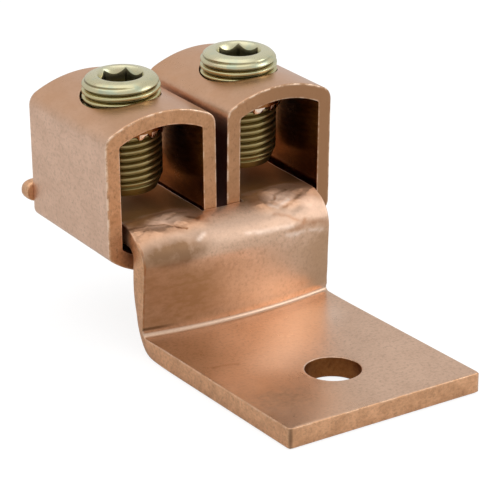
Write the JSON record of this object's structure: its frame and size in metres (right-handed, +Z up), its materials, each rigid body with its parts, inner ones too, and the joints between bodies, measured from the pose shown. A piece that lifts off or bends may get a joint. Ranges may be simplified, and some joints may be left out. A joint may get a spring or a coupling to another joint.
{
  "type": "mechanical lug",
  "caption": "Copper mechanical cable lug: a forked, Z-bent strap with a bolt hole in its tang carries arched collars whose hex-socket set screws clamp cable ends.",
  "frame": {"origin": "on the bolt-hole axis, in the plane of the tang's underside", "axes": "+Z up out of the tang, +X across the strap's width, -Y from the collars towards the tang's front edge"},
  "size_m": [0.056, 0.0891, 0.0531],
  "materials": {
    "strap": "bare copper bar, rolled and bent, burnished",
    "collar": "bare copper, tumbled, satin",
    "screw": "yellow chromated zinc plating"
  },
  "bodies": {
    "lug": {"strap": "strap", "left_collar": "collar", "right_collar": "collar"},
    "left_screw": {"left_set_screw": "screw"},
    "right_screw": {"right_set_screw": "screw"}
  },
  "joints": [
    {"name": "left_screw_travel", "type": "slide", "parent": "lug", "child": "left_screw", "axis": [-0.0349, -0.0384, 0.9987], "range_m": [-0.0019, 0.0165]},
    {"name": "right_screw_travel", "type": "slide", "parent": "lug", "child": "right_screw", "axis": [-0.014, -0.0384, 0.9992], "range_m": [-0.0025, 0.0165]}
  ]
}
